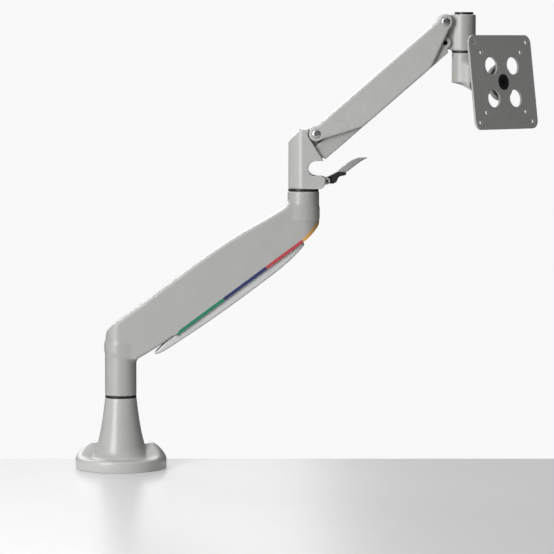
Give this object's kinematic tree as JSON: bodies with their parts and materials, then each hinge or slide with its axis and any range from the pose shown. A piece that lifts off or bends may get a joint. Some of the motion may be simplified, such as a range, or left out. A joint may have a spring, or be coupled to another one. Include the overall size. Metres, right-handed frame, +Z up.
{
  "type": "monitor arm",
  "caption": "Desk-clamped monitor arm with a flared column on a round foot, a cast lower arm with a coloured stripe, a gas-spring upper arm and a tilting square mounting plate.",
  "frame": {"origin": "centre of the column's axis where the foot rests on the desk top", "axes": "+X along the lower arm from the column to the elbow, +Y towards the clamped edge of the desk, +Z up"},
  "size_m": [0.5864, 0.1796, 0.6788],
  "materials": {
    "arm_paint": "satin",
    "column_paint": "satin",
    "foot_plastic": "satin moulded",
    "cover_plastic": "satin moulded",
    "black_plastic": "satin",
    "rubber": "matt",
    "steel": "machined",
    "black_steel": "black oxide",
    "bracket_paint": "powder coat",
    "bush_plastic": "natural",
    "brass": "machined",
    "stripe_green": "satin",
    "stripe_blue": "satin",
    "stripe_red": "satin",
    "stripe_yellow": "satin",
    "zinc": "satin"
  },
  "bodies": {
    "base": {"desk_pad": "rubber", "clamp_bracket": "bracket_paint", "base_plate": "bracket_paint", "base_plate_screws": "steel", "foot_cover": "foot_plastic", "column_shell": "column_paint", "post": "steel", "post_bolt": "black_steel", "swivel_ring_lower": "black_plastic", "clamp_nut": "brass"},
    "clamp_pad": {"clamp_pad": "steel", "clamp_pad_rubber": "rubber"},
    "clamp_screw": {"clamp_spindle": "steel", "clamp_knob": "black_plastic"},
    "lower_arm": {"lower_arm_shell": "arm_paint", "lower_arm_cover": "cover_plastic", "cover_screws": "steel", "stripe_green": "stripe_green", "stripe_blue": "stripe_blue", "stripe_red": "stripe_red", "stripe_yellow": "stripe_yellow", "base_bushes": "bush_plastic", "elbow_bushes": "bush_plastic", "base_friction_screw": "black_steel", "swivel_ring_upper": "black_plastic"},
    "elbow": {"elbow_casting": "arm_paint", "elbow_shaft": "steel", "tension_slider": "zinc", "tension_screw": "black_steel", "gas_rear_pin": "steel", "rear_upper_pin": "steel", "rear_lower_pin": "steel", "flap_pin": "steel"},
    "cable_flap": {"flap_root": "rubber", "flap_leaf": "cover_plastic"},
    "upper_arm": {"upper_arm_shell": "arm_paint", "upper_arm_bushes": "bush_plastic", "gas_front_pin": "steel"},
    "lower_link": {"lower_link": "zinc"},
    "gas_cylinder": {"gas_cylinder": "black_steel", "gas_seal": "rubber"},
    "gas_rod": {"gas_rod": "steel", "gas_piston": "bush_plastic"},
    "front_yoke": {"front_yoke": "arm_paint", "front_upper_pin": "steel", "front_lower_pin": "steel", "front_bush": "bush_plastic", "front_ring": "black_plastic"},
    "head": {"head_knuckle": "arm_paint", "head_shaft": "steel", "head_retainer": "black_steel"},
    "tilt": {"tilt_bracket": "arm_paint", "tilt_bolt": "steel", "tilt_washers": "black_plastic", "vesa_washer": "black_plastic"},
    "plate": {"vesa_plate": "arm_paint", "vesa_hub": "black_steel"}
  },
  "joints": [
    {"name": "base_swivel", "type": "hinge", "parent": "base", "child": "lower_arm", "pos_m": [0, 0, 0.091], "axis": [0, 0, 1], "range_deg": [-180, 180]},
    {"name": "elbow_swivel", "type": "hinge", "parent": "lower_arm", "child": "elbow", "pos_m": [0.2324, 0, 0.354], "axis": [0, 0, 1], "range_deg": [-135, 135]},
    {"name": "arm_lift", "type": "hinge", "parent": "elbow", "child": "upper_arm", "pos_m": [0.2485, 0, 0.4257], "axis": [0, -1, 0], "range_deg": [-75, 4]},
    {"name": "front_level", "type": "hinge", "parent": "upper_arm", "child": "front_yoke", "pos_m": [0.41076, 0, 0.56675], "axis": [0, -1, 0], "range_deg": [-5, 76]},
    {"name": "link_swing", "type": "hinge", "parent": "elbow", "child": "lower_link", "pos_m": [0.2485, 0, 0.3991], "axis": [0, -1, 0], "range_deg": [-76, 5]},
    {"name": "gas_swing", "type": "hinge", "parent": "elbow", "child": "gas_cylinder", "pos_m": [0.2455, 0, 0.4117], "axis": [0, -1, 0], "range_deg": [-76, 5]},
    {"name": "gas_stroke", "type": "slide", "parent": "gas_cylinder", "child": "gas_rod", "axis": [0.7475, 0, 0.6643], "range_m": [-0.018, 0.002]},
    {"name": "flap_swing", "type": "hinge", "parent": "elbow", "child": "cable_flap", "pos_m": [0.262, 0, 0.366], "axis": [0, -1, 0], "range_deg": [-76, 5]},
    {"name": "head_pan", "type": "hinge", "parent": "front_yoke", "child": "head", "pos_m": [0.43476, 0, 0.527], "axis": [0, 0, 1], "range_deg": [-45, 135]},
    {"name": "head_tilt", "type": "hinge", "parent": "head", "child": "tilt", "pos_m": [0.4588, -0.02404, 0.487], "axis": [-0.7071, -0.7071, 0], "range_deg": [-75, 15]},
    {"name": "plate_turn", "type": "hinge", "parent": "tilt", "child": "plate", "pos_m": [0.48193, -0.04717, 0.49136], "axis": [0.7009, -0.7009, 0.1323], "range_deg": [-90, 90]},
    {"name": "clamp_travel", "type": "slide", "parent": "base", "child": "clamp_pad", "axis": [0, 0, 1], "range_m": [-0.015, 0.015]},
    {"name": "clamp_turn", "type": "hinge", "parent": "clamp_pad", "child": "clamp_screw", "pos_m": [0, 0.028, -0.06], "axis": [0, 0, 1], "range_deg": [-1085, 1085]}
  ],
  "couplings": [
    {"joint": "front_level", "follows": "arm_lift", "ratio": -1},
    {"joint": "link_swing", "follows": "arm_lift", "ratio": 1},
    {"joint": "gas_swing", "follows": "arm_lift", "ratio": 0.97},
    {"joint": "gas_stroke", "follows": "arm_lift", "m_per_rad": 0.0127},
    {"joint": "flap_swing", "follows": "arm_lift", "ratio": 1},
    {"joint": "clamp_turn", "follows": "clamp_travel", "rad_per_m": 1256.6}
  ]
}
